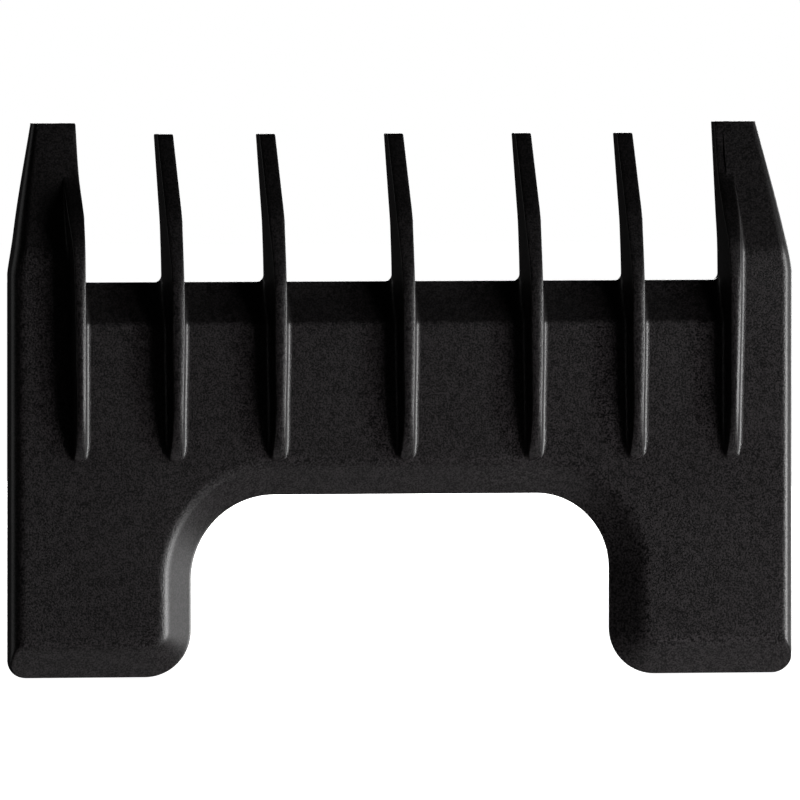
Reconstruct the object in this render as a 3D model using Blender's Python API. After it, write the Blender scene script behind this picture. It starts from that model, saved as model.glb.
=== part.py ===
"""Slide-on guard comb for a hair clipper with a 46 mm blade.

The comb stands on its two legs: +X is to the right, +Z runs along the teeth, and -Y is the
outside, which lies on the skin. The blade lies on the inside, between two guide rails, and is
held by the rails' lips and by a spring catch in each leg. The origin is on the ground under the
middle of the comb. Depths are measured from the outer face, and grow towards the blade.
"""

import math

import bmesh
import bpy
from mathutils import Vector

MM = 0.001
SIDES = (("left", -1), ("right", 1))
GAP = 0.05 * MM  # left between two members that meet

# The plate, its legs and its outline
HALF_WIDTH = 25.0 * MM
PLATE_TOP = 24.65 * MM
PLATE_THICK = 1.5 * MM
ARCH_HALF = 13.44 * MM
ARCH_TOP = 11.39 * MM
ARCH_RADIUS = 4.7 * MM
FOOT_RADIUS = 2.6 * MM
CORNER_RADIUS = 1.1 * MM
ARC_STEPS = 10

# The chamfer around the arch and the feet, and the bevel at the roots of the teeth
CHAMFER_WIDE = 2.05 * MM
CHAMFER_DEEP = 1.05 * MM
BEVEL_LOW = 22.05 * MM
BEVEL_DEEP = 1.2 * MM

# The rounded rim down each side
RIM_RADIUS = 1.0 * MM
RIM_DEPTH = 1.8 * MM
RIM_X = HALF_WIDTH - RIM_RADIUS

# The five thin teeth and the ribs that carry them over the plate
TOOTH_X = [-14.71 * MM, -8.19 * MM, 0.0, 8.19 * MM, 14.71 * MM]
TOOTH_TOP = 33.85 * MM
RIB_LOW = 13.45 * MM
RIB_FULL = 17.8 * MM
RIB_HIGH = 1.4 * MM
CROWN_LEVEL = 23.8 * MM
CROWN_RADIUS = 0.15 * MM
DRAFT = 0.15  # how much a flank leans in for each unit of height over the outer face

# Height and half width of a thin tooth at the depth of the outer face
TOOTH_HALF = [
    (RIB_LOW, 0.46 * MM),
    (22.0 * MM, 0.57 * MM),
    (PLATE_TOP, 0.55 * MM),
    (27.2 * MM, 0.51 * MM),
    (TOOTH_TOP, 0.5 * MM),
]
# Height and depth of the crown and of the underside of a thin tooth, from root to tip
CROWN = [
    (CROWN_LEVEL, -RIB_HIGH),
    (25.5 * MM, -1.1 * MM),
    (27.3 * MM, -0.5 * MM),
    (29.0 * MM, 0.15 * MM),
    (TOOTH_TOP, 2.75 * MM),
]
UNDERSIDE = [
    (PLATE_TOP, PLATE_THICK),
    (27.2 * MM, 1.72 * MM),
    (28.8 * MM, 2.05 * MM),
    (TOOTH_TOP, 3.9 * MM),
]

# The wide tooth at each side, with the rib along its inner edge
OUTER_TOP = 34.55 * MM
OUTER_TIP_X = 23.0 * MM
TAPER_LOW = 25.2 * MM
CREASE = 26.5 * MM
EDGE_RIB_INNER = 20.43 * MM
EDGE_RIB_TOP = 34.5 * MM
EDGE_HALF = [(RIB_LOW, 0.42 * MM), (22.0 * MM, 0.51 * MM), (OUTER_TOP, 0.52 * MM)]
OUTER_INNER = EDGE_RIB_INNER + 2 * EDGE_HALF[-1][1] + GAP
OUTER_FACE = [(PLATE_TOP, 0.0), (CREASE, 0.0), (OUTER_TOP, 2.65 * MM)]
OUTER_UNDERSIDE = [
    (PLATE_TOP, RIM_DEPTH),
    (27.1 * MM, 1.95 * MM),
    (29.0 * MM, 2.4 * MM),
    (OUTER_TOP, 3.6 * MM),
]
EDGE_CROWN = [
    (CROWN_LEVEL, -RIB_HIGH),
    (26.3 * MM, -1.1 * MM),
    (27.3 * MM, -0.8 * MM),
    (29.0 * MM, 0.05 * MM),
    (32.5 * MM, 1.9 * MM),
    (EDGE_RIB_TOP, 2.6 * MM),
]

# The channel for the blade: rails at its sides, and lips from the rails over the blade's back
CHANNEL_HALF = 23.15 * MM
SEAT_HALF = CHANNEL_HALF - GAP
CHANNEL_DEEP = 2.6 * MM
RAIL_OUTER = RIM_X
RAIL_LET_IN = 0.2 * MM  # how far a rail is let into the plate's back
RAIL_LOW = 12.3 * MM
RAIL_TOP = 26.0 * MM
LIP_THICK = 1.0 * MM
LIP_INNER = 21.5 * MM
LIP_TOP = 24.0 * MM
LIP_DEPTH = PLATE_THICK + CHANNEL_DEEP
COMB_BACK = LIP_DEPTH + LIP_THICK

# The stops that the blade's end teeth meet, each with a ramp towards the tip
STOP_INNER = OUTER_INNER + GAP
STOP_OUTER = 22.7 * MM
STOP_LOW = 30.6 * MM
STOP_TOP = 33.4 * MM
STOP_BACK = 4.1 * MM
STOP_EDGE = 0.7 * MM
STOP_TIP = 0.2 * MM

# The spring catch in each leg: an arm with a nose, which bends outwards about its root
ARM_INNER = 23.2 * MM
ARM_OUTER = RAIL_OUTER
ARM_FRONT = 2.2 * MM
ARM_BACK = 4.6 * MM
ARM_TOP = RAIL_LOW - GAP
ARM_LOW = 3.2 * MM
NOSE_INNER = 22.7 * MM
NOSE_CREST = 4.1 * MM
NOSE_TOP = 5.3 * MM

# The outer face is this far in front of the middle of the comb's depth
FACE_Y = -(COMB_BACK - RIB_HIGH) / 2

BLACK = (0.0123, 0.0108, 0.0105, 1.0)


def at(x, depth, z):
    """The point at a depth behind the comb's outer face."""
    return Vector((x, FACE_Y + depth, z))


def between(line, z):
    """The value at height z on a line of (height, value) points, level beyond its ends."""
    if z <= line[0][0]:
        return line[0][1]
    for (z0, depth0), (z1, depth1) in zip(line, line[1:]):
        if z <= z1:
            return depth0 + (depth1 - depth0) * (z - z0) / (z1 - z0)
    return line[-1][1]


def arc(centre_x, centre_z, radius, start, end, steps=ARC_STEPS):
    """Points (x, z) along an arc, from one angle to another, in degrees."""
    points = []
    for i in range(steps + 1):
        angle = math.radians(start + (end - start) * i / steps)
        points.append((centre_x + radius * math.cos(angle), centre_z + radius * math.sin(angle)))
    return points


def plastic(name, roughness):
    """Black moulded plastic."""
    material = bpy.data.materials.new(name)
    material.use_nodes = True
    shader = material.node_tree.nodes["Principled BSDF"]
    shader.inputs["Base Color"].default_value = BLACK
    shader.inputs["Roughness"].default_value = roughness
    shader.inputs["Metallic"].default_value = 0.0
    return material


def add_object(name, bm, material, origin=Vector()):
    """A named object from a bmesh in world coordinates, with its origin where it belongs."""
    bmesh.ops.remove_doubles(bm, verts=bm.verts, dist=0.0001 * MM)
    bmesh.ops.recalc_face_normals(bm, faces=bm.faces)
    bmesh.ops.translate(bm, verts=bm.verts, vec=-origin)
    mesh = bpy.data.meshes.new(name)
    bm.to_mesh(mesh)
    bm.free()
    mesh.shade_smooth()
    mesh.set_sharp_from_angle(angle=math.radians(25))
    mesh.materials.append(material)
    made = bpy.data.objects.new(name, mesh)
    made.location = origin
    made.parent = bpy.data.objects["comb"]
    bpy.context.scene.collection.objects.link(made)
    return made


def loft(rings):
    """A closed bmesh through rings of points, capped at both ends."""
    bm = bmesh.new()
    rows = [[bm.verts.new(point) for point in ring] for ring in rings]
    for low, high in zip(rows, rows[1:]):
        for i in range(len(low)):
            bm.faces.new((low[i - 1], low[i], high[i], high[i - 1]))
    bm.faces.new(rows[0])
    bm.faces.new(rows[-1])
    return bm


def prism(outline, x0, x1):
    """A bar from x0 to x1 whose section is an outline of (z, depth) points."""
    return loft([[at(x, depth, z) for z, depth in outline] for x in (x0, x1)])


def subtract(body, cutter):
    """Cuts one bmesh with another."""
    pieces = []
    for name, bm in (("body", body), ("cutter", cutter)):
        bmesh.ops.recalc_face_normals(bm, faces=bm.faces)
        mesh = bpy.data.meshes.new(name)
        bm.to_mesh(mesh)
        bm.free()
        piece = bpy.data.objects.new(name, mesh)
        bpy.context.scene.collection.objects.link(piece)
        pieces.append(piece)
    cut = pieces[0].modifiers.new("cut", "BOOLEAN")
    cut.object = pieces[1]
    cut.solver = "EXACT"
    result = bmesh.new()
    result.from_object(pieces[0], bpy.context.evaluated_depsgraph_get())
    for piece in pieces:
        bpy.data.objects.remove(piece)
    return result


def kept_side(body, point, normal):
    """A copy of a closed bmesh without what lies on the side that the normal points to."""
    bm = body.copy()
    everything = bm.verts[:] + bm.edges[:] + bm.faces[:]
    bmesh.ops.bisect_plane(
        bm, geom=everything, plane_co=point, plane_no=normal, clear_outer=True
    )
    rim = [edge for edge in bm.edges if edge.is_boundary]
    bmesh.ops.holes_fill(bm, edges=rim)
    return bm


def arch_line(grown):
    """The lower edge of the comb from side to side, moved into the plate by a distance."""
    beyond = HALF_WIDTH + 5 * MM
    flank = ARCH_HALF + grown
    foot = FOOT_RADIUS - grown
    foot_x = ARCH_HALF + FOOT_RADIUS
    crown_x = ARCH_HALF - ARCH_RADIUS
    crown_z = ARCH_TOP - ARCH_RADIUS
    right = arc(crown_x, crown_z, ARCH_RADIUS + grown, 90, 0)
    right += [(flank, FOOT_RADIUS)]
    right += arc(foot_x, FOOT_RADIUS, foot, 180, 270)
    right += [(beyond, grown)]
    left = [(-x, z) for x, z in reversed(right)]
    return left + right


def arch_cutter():
    """What lies below the comb's lower edge, widened by the chamfer at the outer face."""
    slope = CHAMFER_WIDE / CHAMFER_DEEP
    over = 0.2 * MM
    levels = (
        (PLATE_THICK + MM, 0.0),
        (CHAMFER_DEEP, 0.0),
        (-over, CHAMFER_WIDE + over * slope),
    )
    below = -10 * MM
    rings = []
    for depth, grown in levels:
        line = arch_line(grown)
        corners = [(line[-1][0], below), (line[0][0], below)]
        rings.append([at(x, depth, z) for x, z in line + corners])
    return loft(rings)


def plate_body():
    """The plate and both legs in one, between the rims."""
    outline = [(0.0, 0.0), (PLATE_TOP, 0.0), (PLATE_TOP, PLATE_THICK), (0.0, PLATE_THICK)]
    body = subtract(prism(outline, -RIM_X, RIM_X), arch_cutter())
    run = PLATE_TOP - BEVEL_LOW
    wedge = [
        (BEVEL_LOW - run, -BEVEL_DEEP),
        (PLATE_TOP + run, 2 * BEVEL_DEEP),
        (PLATE_TOP + run, -BEVEL_DEEP),
    ]
    body = subtract(body, prism(wedge, -EDGE_RIB_INNER, EDGE_RIB_INNER))
    seat = [
        (0.0, PLATE_THICK - RAIL_LET_IN),
        (PLATE_TOP + MM, PLATE_THICK - RAIL_LET_IN),
        (PLATE_TOP + MM, PLATE_THICK + MM),
        (0.0, PLATE_THICK + MM),
    ]
    for side, sign in SIDES:
        body = subtract(body, prism(seat, sign * SEAT_HALF, sign * HALF_WIDTH))
    return body


def add_plate_and_legs(material):
    """The plate above the arch, and a leg at each side of it."""
    body = plate_body()
    seam = ARCH_TOP - GAP
    plate = kept_side(body, (0, 0, seam), (0, 0, -1))
    add_object("face_plate", plate, material, at(0, 0, ARCH_TOP))
    legs = kept_side(body, (0, 0, seam - GAP), (0, 0, 1))
    for side, sign in SIDES:
        leg = kept_side(legs, (0, 0, 0), (-sign, 0, 0))
        add_object(f"{side}_leg", leg, material, at(sign * ARCH_HALF, 0, 0))
    legs.free()
    body.free()


def rounded_front(x0, x1, front, back, z, radius0, radius1, steps=3):
    """A ring around a bar's section, with its two front corners rounded."""
    ring = [at(x0, back, z)]
    for i in range(steps + 1):
        angle = math.pi / 2 * i / steps
        reach = radius0 * (1 - math.cos(angle))
        ring.append(at(x0 + reach, front + radius0 * (1 - math.sin(angle)), z))
    for i in range(steps + 1):
        angle = math.pi / 2 * (1 - i / steps)
        reach = radius1 * (1 - math.cos(angle))
        ring.append(at(x1 - reach, front + radius1 * (1 - math.sin(angle)), z))
    ring.append(at(x1, back, z))
    return ring


def mirrored(rings, sign):
    """Rings of the right side, or of the left where the sign is negative."""
    return [[Vector((point.x * sign, point.y, point.z)) for point in ring] for ring in rings]


def add_rim(side, sign, material):
    """The rounded rim down one side, with its own rounded foot corner."""
    inner = RIM_X + GAP
    thin = inner + 4 * GAP - (HALF_WIDTH - CORNER_RADIUS)
    start = math.acos(thin / CORNER_RADIUS)
    steps = 7
    sections = []
    for i in range(steps + 1):
        angle = start * (1 - i / steps)
        z = CORNER_RADIUS * (1 - math.sin(angle))
        outer = HALF_WIDTH - CORNER_RADIUS * (1 - math.cos(angle))
        radius = min(RIM_RADIUS, outer - inner) - GAP
        sections.append(rounded_front(inner, outer, 0.0, RIM_DEPTH, z, 0.0, radius, steps=6))
    top = rounded_front(
        inner, HALF_WIDTH, 0.0, RIM_DEPTH, PLATE_TOP - GAP, 0.0, RIM_RADIUS - GAP, steps=6
    )
    rim = subtract(loft(mirrored(sections + [top], sign)), arch_cutter())
    add_object(f"{side}_side_rim", rim, material, at(sign * HALF_WIDTH, 0, 0))


def rib_rise():
    """Height and crown depth along a rib's rear end, which rises in an arc."""
    steps = 7
    rise = []
    for i in range(1, steps + 1):
        angle = math.pi / 2 * i / steps
        height = RIB_FULL - (RIB_FULL - RIB_LOW) * math.cos(angle)
        rise.append((height, -RIB_HIGH * math.sin(angle)))
    return rise


def rib_section(centre, half, crown, foot, z):
    """A ring around a rib or a tooth, from its crown to its foot, with leaning flanks."""

    def reach(depth):
        return half - DRAFT * max(0.0, -depth)

    deep = foot - crown
    shoulder = min(max(0.0, crown + 0.3 * deep), crown + 0.8 * deep)
    radius = min(CROWN_RADIUS, 0.3 * deep)
    narrow = reach(crown)
    ring = rounded_front(centre - narrow, centre + narrow, crown, foot, z, radius, radius)
    for index, sign in ((0, -1), (-1, 1)):
        ring[index] = at(centre + sign * reach(foot), foot, z)
    ring.insert(1, at(centre - reach(shoulder), shoulder, z))
    ring.insert(-1, at(centre + reach(shoulder), shoulder, z))
    return ring


def rounded_end(half, z):
    """Half the width of a rib, which ends in half a circle at its rear."""
    from_end = z - RIB_LOW
    if from_end >= half:
        return half
    return math.sqrt(from_end * (2 * half - from_end))


def add_teeth(material):
    """Five thin teeth: each is a rib over the plate, and then a free tooth."""
    stations = [(z, crown, -GAP) for z, crown in rib_rise()]
    for z in (20 * MM, BEVEL_LOW):
        stations.append((z, -RIB_HIGH, -GAP))
    slope = BEVEL_DEEP / (PLATE_TOP - BEVEL_LOW)
    for z in (CROWN_LEVEL, PLATE_TOP):
        stations.append((z, between(CROWN, z), (z - BEVEL_LOW) * slope - GAP))
    free = {z for z, depth in CROWN + UNDERSIDE if z > PLATE_TOP} | {31.5 * MM}
    for z in sorted(free | {PLATE_TOP + GAP}):
        stations.append((z, between(CROWN, z), between(UNDERSIDE, z)))
    rings = []
    for z, crown, foot in stations:
        half = rounded_end(between(TOOTH_HALF, z), z)
        rings.append(rib_section(0.0, half, crown, foot, z))
    first = add_object("tooth_2", loft(rings), material)
    for number, x in enumerate(TOOTH_X, start=2):
        tooth = first if number == 2 else first.copy()
        tooth.name = f"tooth_{number}"
        tooth.location.x = x
        if tooth is not first:
            bpy.context.scene.collection.objects.link(tooth)


def add_outer_tooth(side, sign, material):
    """The wide tooth at one side, whose outer flank and face slope to a thin tip."""
    rings = []
    for z in (PLATE_TOP + GAP, TAPER_LOW, CREASE, 27.1 * MM, 29 * MM, 31.5 * MM, OUTER_TOP):
        share = max(0.0, (z - TAPER_LOW) / (OUTER_TOP - TAPER_LOW))
        outer = HALF_WIDTH + share * (OUTER_TIP_X - HALF_WIDTH)
        radius = RIM_RADIUS + share * (0.3 * MM - RIM_RADIUS)
        front = between(OUTER_FACE, z)
        back = between(OUTER_UNDERSIDE, z)
        rings.append(rounded_front(OUTER_INNER, outer, front, back, z, 0.0, radius, steps=6))
    tooth = loft(mirrored(rings, sign))
    add_object(f"{side}_outer_tooth", tooth, material, at(sign * OUTER_INNER, 0, PLATE_TOP))


def add_edge_rib(side, sign, material):
    """The rib along the inner edge of a wide tooth, which is that tooth's inner wall too."""
    stations = [(z, crown, -GAP) for z, crown in rib_rise()]
    for z in (22 * MM, CROWN_LEVEL, PLATE_TOP):
        stations.append((z, between(EDGE_CROWN, z), -GAP))
    free = {z for z, depth in EDGE_CROWN + OUTER_UNDERSIDE if PLATE_TOP < z < OUTER_TOP}
    for z in sorted(free | {PLATE_TOP + GAP}):
        stations.append((z, between(EDGE_CROWN, z), between(OUTER_UNDERSIDE, z)))
    rings = []
    for z, crown, foot in stations:
        full = between(EDGE_HALF, z)
        half = rounded_end(full, z)
        rings.append(rib_section(EDGE_RIB_INNER + full, half, crown, foot, z))
    rib = loft(mirrored(rings, sign))
    add_object(f"{side}_edge_rib", rib, material, at(sign * EDGE_RIB_INNER, 0, RIB_LOW))


def add_bar(name, outline, x0, x1, material, origin):
    """A straight bar across X with slightly eased edges."""
    bar = add_object(name, prism(outline, x0, x1), material, origin)
    ease = bar.modifiers.new("ease", "BEVEL")
    ease.width = 0.12 * MM
    ease.segments = 2
    ease.limit_method = "ANGLE"
    return bar


def rail_section(z, front, back):
    """A ring around a rail. Only its middle, beside the blade, stands out to the channel."""
    guide_front = max(front, PLATE_THICK) + GAP
    guide_back = LIP_DEPTH - GAP
    set_back = CHANNEL_HALF + GAP
    return [
        at(RAIL_OUTER, front, z),
        at(set_back, front, z),
        at(set_back, guide_front, z),
        at(CHANNEL_HALF, guide_front, z),
        at(CHANNEL_HALF, guide_back, z),
        at(set_back, guide_back, z),
        at(set_back, back, z),
        at(RAIL_OUTER, back, z),
    ]


def add_channel(side, sign, material):
    """One side of the blade's channel: the rail, the lip over it and the front stop."""
    root = PLATE_THICK - RAIL_LET_IN + GAP
    front = RIM_DEPTH + 2 * GAP
    rings = [
        rail_section(RAIL_LOW, root, COMB_BACK),
        rail_section(LIP_TOP, root, COMB_BACK),
        rail_section(PLATE_TOP - GAP, root, COMB_BACK - LIP_THICK / 2),
        rail_section(PLATE_TOP, front, COMB_BACK - LIP_THICK / 2),
        rail_section(RAIL_TOP, front, LIP_DEPTH),
    ]
    origin = at(sign * CHANNEL_HALF, PLATE_THICK, RAIL_LOW)
    add_object(f"{side}_guide_rail", loft(mirrored(rings, sign)), material, origin)
    lip = [
        (RAIL_LOW, LIP_DEPTH),
        (LIP_TOP, LIP_DEPTH),
        (LIP_TOP - LIP_THICK, COMB_BACK),
        (RAIL_LOW, COMB_BACK),
    ]
    origin = at(sign * LIP_INNER, LIP_DEPTH, RAIL_LOW)
    add_bar(f"{side}_rail_lip", lip, sign * LIP_INNER, sign * CHANNEL_HALF, material, origin)
    stop = [
        (STOP_LOW, between(OUTER_UNDERSIDE, STOP_LOW) + GAP),
        (STOP_TOP, between(OUTER_UNDERSIDE, STOP_TOP) + GAP),
        (STOP_TOP, between(OUTER_UNDERSIDE, STOP_TOP) + STOP_TIP),
        (STOP_LOW + STOP_EDGE, STOP_BACK),
        (STOP_LOW, STOP_BACK),
    ]
    origin = at(sign * STOP_INNER, STOP_BACK, STOP_LOW)
    add_bar(f"{side}_blade_stop", stop, sign * STOP_INNER, sign * STOP_OUTER, material, origin)


def add_snap_arm(side, sign, material):
    """The spring catch in one leg. Its origin is on the line that it bends about."""
    outline = [
        (ARM_OUTER, ARM_LOW),
        (ARM_OUTER, ARM_TOP),
        (ARM_INNER, ARM_TOP),
        (ARM_INNER, NOSE_TOP),
        (NOSE_INNER, NOSE_CREST),
        (NOSE_INNER, ARM_LOW + 0.4 * MM),
        (ARM_INNER, ARM_LOW),
    ]
    rings = []
    for depth in (ARM_FRONT, ARM_BACK):
        rings.append([at(sign * x, depth, z) for x, z in outline])
    pivot = at(sign * (ARM_INNER + ARM_OUTER) / 2, (ARM_FRONT + ARM_BACK) / 2, ARM_TOP)
    add_object(f"{side}_snap_arm", loft(rings), material, pivot)


def main():
    for old in list(bpy.data.objects):
        bpy.data.objects.remove(old)
    comb = bpy.data.objects.new("comb", None)
    bpy.context.scene.collection.objects.link(comb)
    grained = plastic("grained_plastic", 0.42)
    smooth = plastic("smooth_plastic", 0.32)
    add_plate_and_legs(grained)
    add_teeth(grained)
    for side, sign in SIDES:
        add_rim(side, sign, grained)
        add_outer_tooth(side, sign, grained)
        add_edge_rib(side, sign, grained)
        add_channel(side, sign, smooth)
        add_snap_arm(side, sign, smooth)


main()
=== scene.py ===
"""The finished look of the slide-on clipper guard comb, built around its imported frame.

The comb is one black moulding with a fine grain. Lengths are in metres, written as millimetres
times MM; the lines of (height, value) points are in plain millimetres. A depth is measured from
the comb's flat outer face, and grows towards the blade; what stands proud of the face has a
negative depth. +X is right, +Z is along the teeth.
"""

import math

import bmesh
import bpy
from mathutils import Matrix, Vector
from mathutils.bvhtree import BVHTree
from mathutils.interpolate import poly_3d_calc


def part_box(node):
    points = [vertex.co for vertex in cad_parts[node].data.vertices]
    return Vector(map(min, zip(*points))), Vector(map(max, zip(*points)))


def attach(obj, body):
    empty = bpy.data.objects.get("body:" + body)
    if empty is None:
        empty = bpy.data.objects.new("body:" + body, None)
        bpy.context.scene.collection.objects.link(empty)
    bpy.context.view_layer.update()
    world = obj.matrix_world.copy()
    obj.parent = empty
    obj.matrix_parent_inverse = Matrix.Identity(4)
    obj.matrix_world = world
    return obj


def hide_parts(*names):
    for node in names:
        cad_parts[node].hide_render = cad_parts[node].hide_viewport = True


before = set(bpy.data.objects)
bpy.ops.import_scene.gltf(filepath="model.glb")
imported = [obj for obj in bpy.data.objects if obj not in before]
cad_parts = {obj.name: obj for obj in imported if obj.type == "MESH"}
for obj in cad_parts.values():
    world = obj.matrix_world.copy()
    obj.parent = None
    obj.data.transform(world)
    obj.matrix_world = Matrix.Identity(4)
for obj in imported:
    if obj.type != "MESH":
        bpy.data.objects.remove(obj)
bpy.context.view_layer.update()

MM = 0.001
SIDES = (("left", -1), ("right", 1))
BODY = "comb"

# Where the frame's members are
plate_low, plate_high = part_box("face_plate")
rim_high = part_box("right_side_rim")[1]
wide_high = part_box("right_outer_tooth")[1]
edge_low, edge_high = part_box("right_edge_rib")
thin_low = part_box("tooth_4")[0]

FACE_Y = plate_low.y
PLATE_TOP = plate_high.z
PLATE_BACK = plate_high.y - FACE_Y
HALF_WIDTH = rim_high.x
RIM_BACK = rim_high.y - FACE_Y

# The outline of the plate and its legs
ARCH_HALF = 13.38 * MM
ARCH_TOP = plate_low.z
ARCH_RADII = {-1: 5.3 * MM, 1: 4.7 * MM}  # left and right
ARCH_STEPS = 26
FOOT_RADIUS = 2.9 * MM
FOOT_STEPS = 18
CORNER_RADIUS = 1.1 * MM
RIM_RADIUS = 0.85 * MM
PLATE_HALF = HALF_WIDTH - CORNER_RADIUS  # the rims start here
EDGE_ROUND = 0.06 * MM
SEAM = ARCH_TOP - 0.03 * MM  # where the skins of the legs meet the plate's

# The chamfer along the lower edge, and the bevel along the roots of the teeth
CHAMFER_WIDE = 2.0 * MM
CHAMFER_SLOPE = 0.68
CHAMFER_SOFT = 0.306 * MM  # how softly the chamfer runs into the flat face
CHAMFER_STEPS = 25
BAND = 2.46 * MM  # from the lower edge to where the face is flat
BEVEL_LOW = 22.05 * MM
BEVEL_START = BEVEL_LOW - 0.2 * MM
BEVEL_DEEP = 1.2 * MM
BEVEL_SOFT = 0.08 * MM
BEVEL_HALF = 20.9 * MM  # the bevel's ends are under the edge ribs

# The ribs and the thin teeth
RIB_LOW = 13.45 * MM
RIB_FULL = 17.8 * MM  # from here on a rib has its full height
RIB_HIGH = FACE_Y - thin_low.y
RIB_DRAFT = 0.12  # how much a flank leans in for each unit of height over the outer face
RIB_EMBED = 0.12 * MM
CROWN_ROUND = 0.1 * MM
FLARE = 0.42 * MM  # how far the foot of a flank spreads
CROWN_LEVEL = 23.2 * MM  # the crown is level up to here
UNDER_ROUND = 0.1 * MM
TIP_ROUND = 0.1 * MM
TIP_STEPS = 26

# Along a thin tooth: half its width, how far its crown falls off towards its flanks, and the
# depths of its crown and its underside
TOOTH_HALF = [(13.45, 0.48), (17, 0.5), (20, 0.56), (23, 0.57), (24.65, 0.55), (27.2, 0.53), (33.9, 0.52)]
BULGE = [(14.5, 0.03), (17, 0.055), (23.5, 0.055), (26.5, 0.01)]
CROWN = [(23.2, -1.4), (24.4, -1.3), (25.6, -1.03), (27.3, -0.48), (29, 0.18), (29.8, 0.6), (33.85, 2.75)]
UNDERSIDE = [(24.65, 1.5), (25.9, 1.66), (27.2, 1.88), (28.4, 2.1), (29.7, 2.53), (33.85, 3.9)]

# Along an edge rib: half its width, and the depth of its crown
EDGE_INNER = edge_low.x
EDGE_HALF = [(13.45, 0.41), (17, 0.44), (22, 0.5), (24.65, 0.52), (34.55, 0.52)]
EDGE_CROWN = [(23.2, -1.4), (25, -1.3), (26.3, -1.1), (27.3, -0.8), (29, 0.12), (31.3, 1.6), (34.5, 2.64)]
EDGE_FADE = 8.0 * MM  # over which the spread of its foot fades out towards the tip

# Along a wide tooth: the depths of its face and its underside, how far out its side lies, and the
# radius between its face and its side
WIDE_INNER = EDGE_INNER + 0.55 * MM  # inside the edge rib
WIDE_FACE = [(24.65, 0), (26.1, 0), (26.5, 0.05), (26.9, 0.15), (34.55, 2.65)]
WIDE_UNDER = [(24.65, 1.8), (27.1, 1.95), (29, 2.4), (34.55, 3.59)]
WIDE_SIDE = [(24.65, 25), (25.2, 25), (26.5, 24.79), (29.8, 24.17), (34.55, 23.15)]
WIDE_ROUND = [(24.65, 0.85), (26.5, 0.8), (34.55, 0.35)]
CREASE_LOW = 26.1 * MM  # where the wide tooth's face starts to slope
CREASE_HIGH = 27.6 * MM

# How much deeper a tip gets for each unit of height
THIN_TIP_SLOPE = 0.53
WIDE_TIP_SLOPE = 0.33

# The blade's channel and the catches
EMBED = 0.1 * MM  # how far one member reaches into the next
STOP_FLAT = 0.7 * MM
ARM_THICK = 0.8 * MM
NOSE_RAMP = 2.1 * MM
NOSE_HIGH = 0.9 * MM
NOSE_LOW = 0.4 * MM

# The painted shade in the pits of the grain and the painted light on its tops, and the size of its grain
GRAIN_PIT_PAINTED_SHADE = (0.004, 0.0036, 0.0037, 1.0)
GRAIN_TOP_PAINTED_LIGHT = (0.064, 0.057, 0.0595, 1.0)
SMOOTH_PAINTED_LIGHT_SHARE = 0.72  # how much of the painted light on the grain's tops is left on smooth faces, which paints them darker
FINE_GRAIN = 0.11 * MM
COARSE_GRAIN = 0.4 * MM
PATCHES = 9.0 * MM

# How bright the room and the lights are, where white paper in full light is 1
ROOM_FRONT = 0.004
ROOM_BEHIND = 0.01
KEY = 13.6
STRIP = 24.5
FILL = 0.22
LEFT = 0.4
RIGHT = 0.9
BACK = 5.0
LIGHTS_AIM = Vector((0, 0, 17 * MM))

# The camera: where it looks, as (across, depth, height), and where it stands seen from there
CAMERA_AIM = (0.08 * MM, 1.8 * MM, 17.2 * MM)
CAMERA_AZIMUTH = -12.5
CAMERA_ELEVATION = 1.433
CAMERA_DISTANCE = 1.559
CAMERA_LENS = 1122.5  # in millimetres, as is the sensor
CAMERA_SENSOR = 36.0


def at(x, depth, z):
    """The point at a depth behind the comb's outer face."""
    return Vector((x, FACE_Y + depth, z))


def turns(first, last, step):
    """Angles in radians, from the first angle to the last in steps, which are given in degrees."""
    return [math.radians(angle) for angle in range(first, last + 1, step)]


def held(value):
    """A share held between 0 and 1."""
    return min(max(value, 0.0), 1.0)


def smooth_line(line, z):
    """The value in metres at height z on a smooth curve through (height, value) points in mm."""
    points = [(height * MM, value * MM) for height, value in line]
    if z <= points[0][0]:
        return points[0][1]
    if z >= points[-1][0]:
        return points[-1][1]
    slopes = []
    for i in range(len(points)):
        before = points[max(i - 1, 0)]
        after = points[min(i + 1, len(points) - 1)]
        slopes.append((after[1] - before[1]) / (after[0] - before[0]))
    i = next(i for i in range(len(points) - 1) if z <= points[i + 1][0])
    (z0, v0), (z1, v1) = points[i], points[i + 1]
    run = z1 - z0
    t = (z - z0) / run
    hold = (1 + 2 * t) * (1 - t) ** 2
    leave = t * (1 - t) ** 2 * run * slopes[i]
    reach = t * t * (t - 1) * run * slopes[i + 1]
    return v0 * hold + v1 * (1 - hold) + leave + reach


def smooth_max(a, b, soft):
    """The larger of two depths, with a soft change from one to the other."""
    overlap = max(soft - abs(a - b), 0.0) / soft
    return max(a, b) + overlap * overlap * soft / 4


def chamfer_depth(from_edge):
    """The depth of the chamfer at a distance from the lower edge."""
    return smooth_max(CHAMFER_SLOPE * (CHAMFER_WIDE - from_edge), 0.0, CHAMFER_SOFT)


def bevel_depth(z):
    """The depth of the bevel between the ribs at a height."""
    straight = BEVEL_DEEP * (z - BEVEL_LOW) / (PLATE_TOP - BEVEL_LOW)
    return smooth_max(straight, 0.0, BEVEL_SOFT)


def round_off(distance, radius):
    """How far a rounded edge lies below the sharp one at a distance from it."""
    if distance >= radius:
        return 0.0
    return radius - math.sqrt(radius**2 - (radius - distance) ** 2)


def back_edge(radius):
    """How far in and how far short of the back each point round a back edge lies."""
    return [(radius * (1 - math.cos(turn)), radius * (1 - math.sin(turn))) for turn in turns(0, 90, 45)]


def arc(centre_x, centre_z, radius, start, end, steps):
    """Points (x, z) along an arc, from one angle to another, in degrees."""
    points = []
    for i in range(steps + 1):
        angle = math.radians(start + (end - start) * i / steps)
        points.append((centre_x + radius * math.cos(angle), centre_z + radius * math.sin(angle)))
    return points


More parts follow.
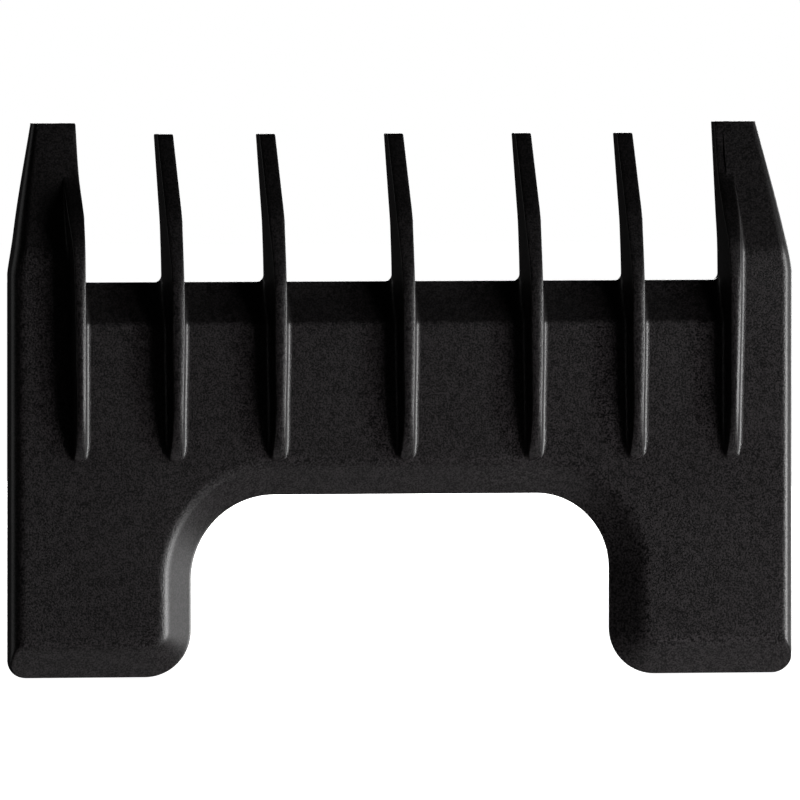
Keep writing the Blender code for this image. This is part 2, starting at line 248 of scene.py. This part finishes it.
def arch_line(grown):
    """The lower edge between the rims, moved into the plate by a distance."""
    halves = {}
    for sign, radius in ARCH_RADII.items():
        half = arc(ARCH_HALF - radius, ARCH_TOP - radius, radius + grown, 90, 0, ARCH_STEPS)
        half += arc(ARCH_HALF + FOOT_RADIUS, FOOT_RADIUS, FOOT_RADIUS - grown, 180, 270, FOOT_STEPS)
        half.append((PLATE_HALF, grown))
        halves[sign] = [(sign * x, z) for x, z in half]
    return halves[-1][::-1] + halves[1]


def finish_mesh(name, bm, material, sharp=40):
    """A smooth-shaded object from a closed bmesh in world coordinates."""
    bmesh.ops.remove_doubles(bm, verts=bm.verts, dist=0.0004 * MM)
    bmesh.ops.dissolve_degenerate(bm, edges=bm.edges, dist=0.0002 * MM)
    bmesh.ops.recalc_face_normals(bm, faces=bm.faces)
    mesh = bpy.data.meshes.new(name)
    bm.to_mesh(mesh)
    bm.free()
    mesh.shade_smooth()
    mesh.set_sharp_from_angle(angle=math.radians(sharp))
    mesh.materials.append(material)
    made = bpy.data.objects.new(name, mesh)
    bpy.context.scene.collection.objects.link(made)
    return made


def place(piece, body, slot, *nodes):
    """Hangs a piece on the body it rides on and hides the frame nodes it stands for. The slot is not
    used.
    """
    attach(piece, body)
    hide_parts(*nodes)


def loft(rings):
    """A closed bmesh through rings of points, capped at both ends."""
    bm = bmesh.new()
    rows = [[bm.verts.new(point) for point in ring] for ring in rings]
    for low, high in zip(rows, rows[1:]):
        for i in range(len(low)):
            bm.faces.new((low[i - 1], low[i], high[i], high[i - 1]))
    bm.faces.new(rows[0])
    bm.faces.new(rows[-1])
    return bm


def mirrored(rings, sign):
    """Rings of the right side, or of the left where the sign is negative."""
    return [[Vector((point.x * sign, point.y, point.z)) for point in ring] for ring in rings]


# The plate and its legs


def lower_edge_profile():
    """Distance from the lower edge and depth, from the flat face over the edge to the back."""
    profile = [(BAND, 0.0)]
    for i in range(1, CHAMFER_STEPS + 1):
        from_edge = BAND + (EDGE_ROUND - BAND) * i / CHAMFER_STEPS
        profile.append((from_edge, chamfer_depth(from_edge)))
    edge = chamfer_depth(EDGE_ROUND)
    for turn in turns(30, 90, 30):
        profile.append((EDGE_ROUND * (1 - math.sin(turn)), edge + EDGE_ROUND * (1 - math.cos(turn))))
    for inset, lift in back_edge(EDGE_ROUND):
        profile.append((inset, PLATE_BACK - lift))
    return profile


def bevel_profile():
    """Height and depth along the bevel at the roots of the teeth, up to the plate's end."""
    heights = [BEVEL_START + 0.04 * MM * i for i in range(1, 11)]
    heights += [23.3 * MM, PLATE_TOP - EDGE_ROUND]
    profile = [(BEVEL_START, 0.0)]
    profile += [(z, bevel_depth(z)) for z in heights]
    top = profile[-1][1]
    for turn in turns(30, 90, 30):
        z = PLATE_TOP - EDGE_ROUND * (1 - math.sin(turn))
        profile.append((z, top + EDGE_ROUND * (1 - math.cos(turn))))
    return profile


def plate_with_legs():
    """The plate and both legs in one closed bmesh."""
    bm = bmesh.new()

    def vert(x, depth, z):
        return bm.verts.new(at(x, depth, z))

    rings = []
    for from_edge, depth in lower_edge_profile():
        rings.append([vert(x, depth, z) for x, z in arch_line(from_edge)])
    # The lower edge, from the flat face over the chamfer to the back
    for high, low in zip(rings, rings[1:]):
        for i in range(len(high) - 1):
            bm.faces.new((high[i], high[i + 1], low[i + 1], low[i]))
    # The bevel between the edge ribs
    bevel = {}
    for sign in (-1, 1):
        bevel[sign] = [vert(sign * BEVEL_HALF, depth, z) for z, depth in bevel_profile()]
    for i in range(len(bevel[1]) - 1):
        bm.faces.new((bevel[-1][i], bevel[1][i], bevel[1][i + 1], bevel[-1][i + 1]))
    # The wall and the plate's end beside the bevel, and the side towards the rim
    front = {}
    back = {}
    for sign in (-1, 1):
        front[sign] = [vert(sign * x, 0, PLATE_TOP) for x in (BEVEL_HALF, PLATE_HALF)]
        back[sign] = [vert(sign * x, PLATE_BACK, PLATE_TOP) for x in (BEVEL_HALF, PLATE_HALF)]
        column = [ring[0 if sign < 0 else -1] for ring in rings]
        bm.faces.new([*bevel[sign], front[sign][0]])
        bm.faces.new([*front[sign], back[sign][1], back[sign][0], bevel[sign][-1]])
        bm.faces.new([*column, back[sign][1], front[sign][1]])
    # The face, the back, and what the bevel leaves of the plate's end
    bm.faces.new([*rings[0], front[1][1], front[1][0], bevel[1][0], bevel[-1][0], *front[-1]])
    bm.faces.new([*rings[-1], back[1][1], back[1][0], *back[-1]])
    bm.faces.new((bevel[-1][-1], bevel[1][-1], back[1][0], back[-1][0]))
    bmesh.ops.recalc_face_normals(bm, faces=bm.faces)
    return bm


def kept_side(body, point, normal):
    """A copy of a closed bmesh without what lies on the side that the normal points to."""
    bm = body.copy()
    everything = bm.verts[:] + bm.edges[:] + bm.faces[:]
    bmesh.ops.bisect_plane(bm, geom=everything, plane_co=point, plane_no=normal, clear_outer=True)
    rim = [edge for edge in bm.edges if edge.is_boundary]
    bmesh.ops.holes_fill(bm, edges=rim)
    return bm


def match_normals(piece, whole):
    """Gives a cut piece the shading of the whole that it was cut from, so no cut shows."""
    mesh = whole.data
    mesh.calc_loop_triangles()
    places = [vertex.co.copy() for vertex in mesh.vertices]
    triangles = []
    corners = []
    for triangle in mesh.loop_triangles:
        triangles.append(tuple(triangle.vertices))
        corners.append([mesh.corner_normals[loop].vector.copy() for loop in triangle.loops])
    tree = BVHTree.FromPolygons(places, triangles)
    normals = []
    for face in piece.data.polygons:
        for index in face.vertices:
            inside = piece.data.vertices[index].co.lerp(face.center, 0.004)
            spot, normal, found, _ = tree.find_nearest(inside)
            faces_back = face.normal.y > 0.99  # the back is flat up to its edge
            is_cut = abs(normal.dot(face.normal)) < 0.98
            if faces_back or is_cut:
                normals.append(face.normal.copy())
                continue
            weights = poly_3d_calc([places[v] for v in triangles[found]], spot)
            blended = sum((n * w for n, w in zip(corners[found], weights)), Vector())
            normals.append(blended.normalized())
    piece.data.normals_split_custom_set(normals)


def add_plate_and_legs(material):
    """The plate and the legs, cut from one surface where the frame's members meet."""
    body = plate_with_legs()
    whole = finish_mesh("whole_plate", body.copy(), material)
    legs = kept_side(body, (0, 0, SEAM), (0, 0, 1))
    pieces = [("face_plate_skin", kept_side(body, (0, 0, SEAM), (0, 0, -1)), "face_plate")]
    for side, sign in SIDES:
        pieces.append((f"{side}_leg_skin", kept_side(legs, (0, 0, 0), (-sign, 0, 0)), f"{side}_leg"))
    for name, bm, node in pieces:
        piece = finish_mesh(name, bm, material)
        match_normals(piece, whole)
        place(piece, BODY, "grained_plastic", node)
    bpy.data.objects.remove(whole)
    legs.free()
    body.free()


def rim_section(z):
    """Points round a rim at a height, from the plate's face over the outside to the back."""
    lift = max(CORNER_RADIUS - z, 0.0)
    outer = PLATE_HALF + math.sqrt(CORNER_RADIUS**2 - lift**2)
    corner = lift / CORNER_RADIUS
    lower = round_off(z, EDGE_ROUND)
    back = RIM_BACK - lower
    start = chamfer_depth(z) + lower + corner * round_off(outer - PLATE_HALF, EDGE_ROUND)
    section = [at(PLATE_HALF, start, z)]
    for turn in turns(0, 90, 6):
        share = (CORNER_RADIUS - RIM_RADIUS * (1 - math.sin(turn))) / CORNER_RADIUS
        x = PLATE_HALF + share * (outer - PLATE_HALF)
        rim = round_off(HALF_WIDTH - x, RIM_RADIUS)
        depth = (chamfer_depth(z) ** 4 + rim**4) ** 0.25 + lower
        depth += corner * round_off(outer - x, EDGE_ROUND)
        section.append(at(x, min(depth, back - EDGE_ROUND), z))
    for inset, lift in back_edge(EDGE_ROUND):
        section.append(at(outer - inset * (1 - corner), back - lift, z))
    section.append(at(PLATE_HALF, back, z))
    return section


def add_rim(side, sign, material):
    """The rounded rim down one side, which turns into the foot's chamfer at its lower end."""
    heights = [CORNER_RADIUS * (1 - math.cos(turn)) for turn in turns(2, 82, 8)]
    heights += [CORNER_RADIUS + (BAND - CORNER_RADIUS) * i / 14 for i in range(15)]
    heights.append(PLATE_TOP)
    sections = [rim_section(z) for z in heights]
    rim = finish_mesh(f"{side}_side_rim_skin", loft(mirrored(sections, sign)), material)
    place(rim, BODY, "grained_plastic", f"{side}_side_rim")


# The teeth


def flank_side(half, crown, bulge, base, under, flare, high, under_round):
    """Offset and depth from the middle of a rib's crown down one flank to its foot.

    The flank leans in above the outer face. It starts to spread at a distance high above the
    base, is wider by flare at the base, and ends at the depth under.
    """

    def reach(depth):
        return half - RIB_DRAFT * max(0.0, -depth)

    deep = base - crown
    rounding = min(CROWN_ROUND, 0.4 * deep, 0.6 * half)
    flat = reach(crown) - rounding
    points = [(flat * share, crown + bulge * share**2) for share in (0, 0.25, 0.5, 0.75)]
    for turn in turns(15, 90, 15):
        x = flat + rounding * math.sin(turn)
        points.append((x, crown + bulge + rounding * (1 - math.cos(turn))))
    start = base - min(high, 0.5 * deep)
    middle = min(max(0.0, crown + rounding), start)
    points.append((reach(middle), middle))
    for turn in turns(0, 90, 15):
        depth = start + (base - start) * math.sin(turn)
        points.append((reach(depth) + flare * (1 - math.cos(turn)), depth))
    wide = reach(base) + flare
    for inset, lift in back_edge(under_round):
        points.append((wide - inset, under - lift))
    return points


def rib_rise(z):
    """The depth of a rib's crown: it rises in an arc from its rear end."""
    share = held((z - RIB_LOW) / (RIB_FULL - RIB_LOW))
    return -RIB_HIGH * math.sqrt(1 - (1 - share) ** 2)


def rounded_end(half, z):
    """Half the width of a rib, which ends in half a circle at its rear."""
    from_end = max(z - RIB_LOW, 0.0)
    if from_end >= half:
        return half
    return math.sqrt(from_end * (2 * half - from_end))


def tooth_heights(top):
    """The heights of a tooth's sections, closer together where it bends."""
    heights = [RIB_LOW + 0.5 * MM * (1 - math.cos(turn)) for turn in turns(4, 85, 9)]
    heights += [RIB_LOW + (0.55 + 0.35 * i) * MM for i in range(12)]
    heights += [19 * MM, 20.5 * MM]
    heights += [BEVEL_LOW + 0.1 * MM * i for i in range(-2, 3)]
    heights += [CROWN_LEVEL + 0.3 * MM * i for i in range(4)]
    heights += [PLATE_TOP - 0.15 * MM, PLATE_TOP]
    heights += [PLATE_TOP + FLARE * (1 - math.cos(turn)) for turn in turns(15, 90, 15)]
    free = PLATE_TOP + FLARE
    heights += [free + (top - TIP_ROUND - free) * i / TIP_STEPS for i in range(1, TIP_STEPS + 1)]
    return heights


def root_flare(z):
    """How far a flank's foot still spreads just beyond the plate's end."""
    return round_off(z - PLATE_TOP, FLARE)


def tip_rings(ring, slope):
    """The last rings of a tooth, which round the edges of its tip and follow its slope."""
    middle = sum(ring, Vector()) / len(ring)
    wide = max(abs(point.x - middle.x) for point in ring)
    rings = []
    for turn in turns(30, 90, 30):
        inset = 0.8 * TIP_ROUND * (1 - math.cos(turn))
        lift = TIP_ROUND * math.sin(turn)
        pulled = []
        for point in ring:
            spot = middle + (point - middle) * (1 - inset / wide)
            pulled.append(Vector((spot.x, spot.y + slope * lift, point.z + lift)))
        rings.append(pulled)
    return rings


def tooth_sections(centre, top, half_line, crown_line, sides):
    """Rings around a tooth at its heights, and the rings that round its tip.

    The centre and both sides are functions of the height. A side gives the depths of the flank's
    base and underside, how far its foot spreads, and the rounding along its underside.
    """
    rings = []
    for z in tooth_heights(top):
        half = rounded_end(smooth_line(half_line, z), z)
        crown = rib_rise(z) if z < CROWN_LEVEL else smooth_line(crown_line, z)
        bulge = smooth_line(BULGE, z)
        lines = []
        for side in sides:
            base, under, flare, under_round = side(z)
            if z < RIB_FULL:
                flare = min(flare, -0.45 * crown)
            high = flare if z < PLATE_TOP else FLARE
            lines.append(flank_side(half, crown, bulge, base, under, flare, high, under_round))
        middle = centre(z)
        ring = [at(middle - x, depth, z) for x, depth in reversed(lines[0])]
        ring += [at(middle + x, depth, z) for x, depth in lines[1]]
        rings.append(ring)
    return rings + tip_rings(rings[-1], THIN_TIP_SLOPE)


def plate_side(z):
    """A side of a rib where it stands on the plate."""
    base = bevel_depth(z) if z > BEVEL_START else 0.0
    under = base + RIB_EMBED if z < PLATE_TOP - 0.2 * MM else PLATE_BACK
    return base, under, FLARE, 0.0


def free_side(z, crown_line, under_line):
    """A side of a tooth beyond the plate's end, where it is free."""
    base = max(bevel_depth(PLATE_TOP), smooth_line(crown_line, z) + 0.4 * MM)
    return base, smooth_line(under_line, z), root_flare(z), UNDER_ROUND


def thin_side(z):
    """Either side of a thin tooth."""
    return plate_side(z) if z <= PLATE_TOP else free_side(z, CROWN, UNDERSIDE)


def edge_inner_side(z):
    """The side of an edge rib that faces the thin teeth, which is the wide tooth's wall too."""
    return plate_side(z) if z <= PLATE_TOP else free_side(z, EDGE_CROWN, WIDE_UNDER)


def edge_outer_side(z):
    """The side of an edge rib that stands on the wide tooth's face."""
    base = smooth_line(WIDE_FACE, z)
    crown = smooth_line(EDGE_CROWN, z)
    flare = FLARE
    if z >= CREASE_LOW:
        flare = min(FLARE, max(0.0, (base - crown) * 0.4)) * held((edge_high.z - z) / EDGE_FADE)
    return max(base, crown + 0.02 * MM), base + 0.5 * MM, flare, 0.0


def add_thin_teeth(material):
    """Five thin teeth: each is a rib over the plate, and then a free tooth."""
    for number in range(2, 7):
        low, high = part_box(f"tooth_{number}")
        middle = (low.x + high.x) / 2
        rings = tooth_sections(lambda z: middle, high.z, TOOTH_HALF, CROWN, (thin_side, thin_side))
        tooth = finish_mesh(f"tooth_{number}_skin", loft(rings), material)
        place(tooth, BODY, "grained_plastic", f"tooth_{number}")


def add_edge_rib(side, sign, material):
    """The rib along the inner edge of a wide tooth."""
    rings = tooth_sections(
        lambda z: EDGE_INNER + smooth_line(EDGE_HALF, z),
        wide_high.z,
        EDGE_HALF,
        EDGE_CROWN,
        (edge_inner_side, edge_outer_side),
    )
    rib = finish_mesh(f"{side}_edge_rib_skin", loft(mirrored(rings, sign)), material)
    place(rib, BODY, "grained_plastic", f"{side}_edge_rib")


def wide_tooth_section(z):
    """Points round a wide tooth at a height, from its inner wall over its face to its back."""
    face = smooth_line(WIDE_FACE, z)
    under = smooth_line(WIDE_UNDER, z)
    outer = min(smooth_line(WIDE_SIDE, z), HALF_WIDTH)
    rounding = smooth_line(WIDE_ROUND, z)
    section = [at(WIDE_INNER, under, z), at(WIDE_INNER, face, z)]
    for turn in turns(0, 90, 6):
        x = outer - rounding * (1 - math.sin(turn))
        section.append(at(x, face + rounding * (1 - math.cos(turn)), z))
    for inset, lift in back_edge(UNDER_ROUND):
        section.append(at(outer - inset, under - lift, z))
    section.append(at(outer - 2 * UNDER_ROUND, under, z))
    return section


def add_wide_tooth(side, sign, material):
    """The wide tooth at one side, whose outer flank and face slope to a thin tip."""
    slope = wide_high.z - TIP_ROUND - CREASE_HIGH
    heights = [PLATE_TOP, PLATE_TOP + 0.3 * MM]
    heights += [25.2 * MM + 0.15 * MM * i for i in range(16)]
    heights += [CREASE_HIGH + slope * i / 16 for i in range(1, 17)]
    rings = [wide_tooth_section(z) for z in heights]
    rings += tip_rings(rings[-1], WIDE_TIP_SLOPE)
    tooth = finish_mesh(f"{side}_wide_tooth_skin", loft(mirrored(rings, sign)), material)
    place(tooth, BODY, "grained_plastic", f"{side}_outer_tooth")


# The blade's channel and the catches


def eased(name, rings, material, ease):
    """A solid through rings of points, with its sharp edges rounded."""
    bm = loft(rings)
    bmesh.ops.recalc_face_normals(bm, faces=bm.faces)
    edges = [edge for edge in bm.edges if edge.calc_face_angle() > math.radians(15)]
    bmesh.ops.bevel(bm, geom=edges, offset=ease, segments=4, profile=0.5, affect="EDGES")
    return finish_mesh(name, bm, material, sharp=50)


def bar(name, outline, x0, x1, material, ease):
    """A bar across X whose section is an outline of (z, y) points."""
    return eased(name, [[Vector((x, y, z)) for z, y in outline] for x in (x0, x1)], material, ease)


def add_channel(side, sign, material):
    """One side of the blade's channel: the rail, and the lip over it."""
    low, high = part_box(f"{side}_guide_rail")
    lip_low, lip_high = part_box(f"{side}_rail_lip")
    lip_thick = lip_high.y - lip_low.y
    rail = [
        (low.z, low.y - EMBED),
        (PLATE_TOP, low.y - EMBED),
        (PLATE_TOP, FACE_Y + RIM_BACK - EMBED),
        (high.z, FACE_Y + RIM_BACK - EMBED),
        (high.z, lip_low.y),
        (lip_high.z, high.y),
        (low.z, high.y),
    ]
    piece = bar(f"{side}_guide_rail_body", rail, low.x, high.x, material, 0.08 * MM)
    place(piece, BODY, "smooth_plastic", f"{side}_guide_rail")
    lip = [
        (lip_low.z, lip_low.y),
        (lip_high.z, lip_low.y),
        (lip_high.z - lip_thick, lip_high.y),
        (lip_low.z, lip_high.y),
    ]
    inner, outer = sorted((lip_low.x, lip_high.x), key=abs)
    piece = bar(f"{side}_rail_lip_body", lip, inner, outer + sign * 2 * EMBED, material, 0.12 * MM)
    place(piece, BODY, "smooth_plastic", f"{side}_rail_lip")


def add_stop(side, material):
    """The stop behind one wide tooth, with a ramp towards the tip."""
    low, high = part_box(f"{side}_blade_stop")
    under_low = FACE_Y + smooth_line(WIDE_UNDER, low.z) - EMBED
    under_high = FACE_Y + smooth_line(WIDE_UNDER, high.z) - EMBED
    stop = [
        (low.z, under_low),
        (high.z, under_high),
        (high.z, under_high + 3 * EMBED),
        (low.z + STOP_FLAT, high.y),
        (low.z, high.y),
    ]
    piece = bar(f"{side}_blade_stop_body", stop, low.x, high.x, material, 0.1 * MM)
    place(piece, BODY, "smooth_plastic", f"{side}_blade_stop")


def add_catch(side, sign, material):
    """The spring catch in one leg: a thin arm with a nose at its free end."""
    low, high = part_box(f"{side}_snap_arm")
    inner, outer = sorted((low.x, high.x), key=abs)
    wall = outer - sign * ARM_THICK
    outline = [
        (outer, low.z),
        (outer, high.z),
        (wall, high.z),
        (wall, low.z + NOSE_RAMP),
        (inner, low.z + NOSE_HIGH),
        (inner, low.z + NOSE_LOW),
        (wall, low.z),
    ]
    rings = [[Vector((x, y, z)) for x, z in outline] for y in (low.y, high.y)]
    arm = eased(f"{side}_snap_arm_body", rings, material, 0.08 * MM)
    place(arm, f"{side}_catch", "smooth_plastic", f"{side}_snap_arm")


# Materials


class Nodes:
    """A node tree, with a short way to add nodes and to link them."""

    def __init__(self, tree):
        self.tree = tree

    def add(self, kind, **values):
        node = self.tree.nodes.new(kind)
        for key, value in values.items():
            setattr(node, key, value)
        return node

    def link(self, source, target):
        self.tree.links.new(source, target)

    def math(self, operation, first, second):
        """A math node on two sockets or numbers."""
        node = self.add("ShaderNodeMath", operation=operation)
        for socket, value in zip(node.inputs, (first, second)):
            if isinstance(value, (int, float)):
                socket.default_value = value
            else:
                self.link(value, socket)
        return node.outputs[0]

    def ranged(self, value, low, high, to_low, to_high):
        """A value taken from one range to another, and held within it."""
        node = self.add("ShaderNodeMapRange")
        self.link(value, node.inputs["Value"])
        numbers = {"From Min": low, "From Max": high, "To Min": to_low, "To Max": to_high}
        for name, number in numbers.items():
            node.inputs[name].default_value = number
        return node.outputs[0]

    def noise(self, coordinates, size):
        """Noise whose features are about this many metres across."""
        node = self.add("ShaderNodeTexNoise")
        node.inputs["Scale"].default_value = 1 / size
        node.inputs["Detail"].default_value = 2.0
        self.link(coordinates, node.inputs["Vector"])
        return node.outputs["Fac"]


def new_material(name):
    """A material, its node tree and its shader."""
    material = bpy.data.materials.new(name)
    material.use_nodes = True
    return material, Nodes(material.node_tree), material.node_tree.nodes["Principled BSDF"]


def black_plastic(name, grain_deep, rough_low, rough_high):
    """Black moulded plastic with a spark-eroded grain that fades where a face is chamfered, whose base
    colour paints shade into the grain's pits and light onto its tops.
    """
    material, nodes, shader = new_material(name)
    shader.inputs["Specular IOR Level"].default_value = 0.5
    coordinates = nodes.add("ShaderNodeTexCoord")
    where = coordinates.outputs["Object"]
    fine = nodes.noise(where, FINE_GRAIN)
    coarse = nodes.noise(where, COARSE_GRAIN)
    patches = nodes.noise(where, PATCHES)

    # 1 on faces that look straight outwards, and 0 on faces that look elsewhere
    normal = nodes.add("ShaderNodeSeparateXYZ")
    nodes.link(coordinates.outputs["Normal"], normal.inputs[0])
    outwards = nodes.math("MULTIPLY", normal.outputs["Y"], -1.0)
    textured = nodes.ranged(outwards, 0.91, 0.98, 0.0, 1.0)

    grain = nodes.math("ADD", fine, nodes.math("MULTIPLY", coarse, 0.25))
    bump = nodes.add("ShaderNodeBump")
    bump.inputs["Distance"].default_value = grain_deep
    nodes.link(nodes.ranged(textured, 0.0, 1.0, 0.3, 1.0), bump.inputs["Strength"])
    nodes.link(grain, bump.inputs["Height"])
    nodes.link(bump.outputs["Normal"], shader.inputs["Normal"])

    roughness = nodes.ranged(patches, 0.3, 0.7, rough_low, rough_high)
    nodes.link(roughness, shader.inputs["Roughness"])

    # Painted light and shade: the base colour is dark in the grain's pits and light on its tops
    tops = nodes.ranged(grain, 0.5, 0.78, 0.0, 1.0)
    # Faces that don't look straight out keep less of the painted light, which paints shade on the
    # chamfers, the bevel and the noses
    shade = nodes.ranged(textured, 0.0, 1.0, SMOOTH_PAINTED_LIGHT_SHARE, 1.0)
    painted_grain_light = nodes.add("ShaderNodeMix", data_type="RGBA")
    painted_grain_light.inputs["A"].default_value = GRAIN_PIT_PAINTED_SHADE
    painted_grain_light.inputs["B"].default_value = GRAIN_TOP_PAINTED_LIGHT
    nodes.link(nodes.math("MULTIPLY", tops, shade), painted_grain_light.inputs["Factor"])
    nodes.link(painted_grain_light.outputs["Result"], shader.inputs["Base Color"])
    return material


def white_paper():
    """The floor's matt white paper, which glows for the camera alone, so it shows as pure white."""
    material, nodes, shader = new_material("white_paper")
    shader.inputs["Base Color"].default_value = (0.9, 0.9, 0.9, 1.0)
    shader.inputs["Roughness"].default_value = 0.9
    shader.inputs["Emission Color"].default_value = (1.0, 1.0, 1.0, 1.0)
    seen = nodes.add("ShaderNodeLightPath").outputs["Is Camera Ray"]
    nodes.link(seen, shader.inputs["Emission Strength"])
    return material


# The stage, the lights and the camera


def add_floor():
    """A plain white floor for the camera alone, which gives the comb no light and no reflection."""
    bm = bmesh.new()
    bmesh.ops.create_grid(bm, x_segments=1, y_segments=1, size=1.4)
    mesh = bpy.data.meshes.new("floor")
    bm.to_mesh(mesh)
    bm.free()
    mesh.materials.append(white_paper())
    floor = bpy.data.objects.new("floor", mesh)
    floor.visible_glossy = False
    floor.visible_diffuse = False
    floor.visible_shadow = False
    bpy.context.scene.collection.objects.link(floor)


def direction(azimuth, elevation):
    """The unit vector towards an azimuth, counted from the comb's front, and an elevation."""
    turn, lift = math.radians(azimuth), math.radians(elevation)
    return Vector((math.sin(turn) * math.cos(lift), -math.cos(turn) * math.cos(lift), math.sin(lift)))


def aimed(name, data, target, away, distance):
    """A light or a camera at a distance from a target, which it looks at."""
    made = bpy.data.objects.new(name, data)
    made.location = target + away * distance
    made.rotation_euler = (-away).to_track_quat("-Z", "Y").to_euler()
    bpy.context.scene.collection.objects.link(made)
    return made


def add_light(name, azimuth, elevation, distance, size, radiance):
    """A soft rectangular light that faces the comb from a direction."""
    width, height = size
    data = bpy.data.lights.new(name, "AREA")
    data.shape = "RECTANGLE"
    data.size = width
    data.size_y = height
    data.energy = radiance * math.pi * width * height
    light = aimed(name, data, LIGHTS_AIM, direction(azimuth, elevation), distance)
    light.visible_camera = False
    return light


def add_room():
    """The dim room, which is lighter behind the comb and pure white to the camera."""
    world = bpy.data.worlds.new("studio")
    world.use_nodes = True
    nodes = Nodes(world.node_tree)
    background = world.node_tree.nodes["Background"]
    background.inputs["Color"].default_value = (1, 1, 1, 1)
    towards = nodes.add("ShaderNodeTexCoord").outputs["Generated"]
    split = nodes.add("ShaderNodeSeparateXYZ")
    nodes.link(towards, split.inputs[0])
    room = nodes.ranged(split.outputs["Y"], 0.1, 0.9, ROOM_FRONT, ROOM_BEHIND)
    seen = nodes.add("ShaderNodeLightPath").outputs["Is Camera Ray"]
    nodes.link(nodes.math("MAXIMUM", room, seen), background.inputs["Strength"])
    bpy.context.scene.world = world


def add_lights():
    """A key light low at the front right, a strip that is only mirrored, and weaker lights."""
    key = add_light("key", azimuth=46, elevation=-40, distance=0.2, size=(0.067, 0.089), radiance=KEY)
    key.visible_glossy = False
    strip = add_light("strip", azimuth=62, elevation=-2, distance=0.4, size=(0.07, 0.25), radiance=STRIP)
    strip.visible_diffuse = False
    add_light("fill", azimuth=10, elevation=-75, distance=0.3, size=(0.25, 0.25), radiance=FILL)
    add_light("left", azimuth=-112, elevation=12, distance=0.4, size=(0.25, 0.4), radiance=LEFT)
    add_light("right", azimuth=102, elevation=0, distance=0.4, size=(0.35, 0.3), radiance=RIGHT)
    add_light("back", azimuth=152, elevation=8, distance=0.4, size=(0.3, 0.3), radiance=BACK)


def add_camera():
    """A long lens, level with the comb and a little to its left."""
    data = bpy.data.cameras.new("camera")
    data.sensor_width = CAMERA_SENSOR
    data.lens = CAMERA_LENS
    data.clip_start = 0.05
    data.clip_end = 10.0
    away = direction(CAMERA_AZIMUTH, CAMERA_ELEVATION)
    bpy.context.scene.camera = aimed("camera", data, at(*CAMERA_AIM), away, CAMERA_DISTANCE)
    bpy.context.scene.view_settings.view_transform = "Standard"


def main():
    """Builds every piece, the stage, the lights and the camera."""
    grained = black_plastic("grained_plastic", 0.02 * MM, 0.33, 0.38)
    smooth = black_plastic("smooth_plastic", 0.006 * MM, 0.3, 0.36)
    add_plate_and_legs(grained)
    add_thin_teeth(grained)
    for side, sign in SIDES:
        add_rim(side, sign, grained)
        add_wide_tooth(side, sign, grained)
        add_edge_rib(side, sign, grained)
        add_channel(side, sign, smooth)
        add_stop(side, smooth)
        add_catch(side, sign, smooth)
    add_floor()
    add_room()
    add_lights()
    add_camera()


main()
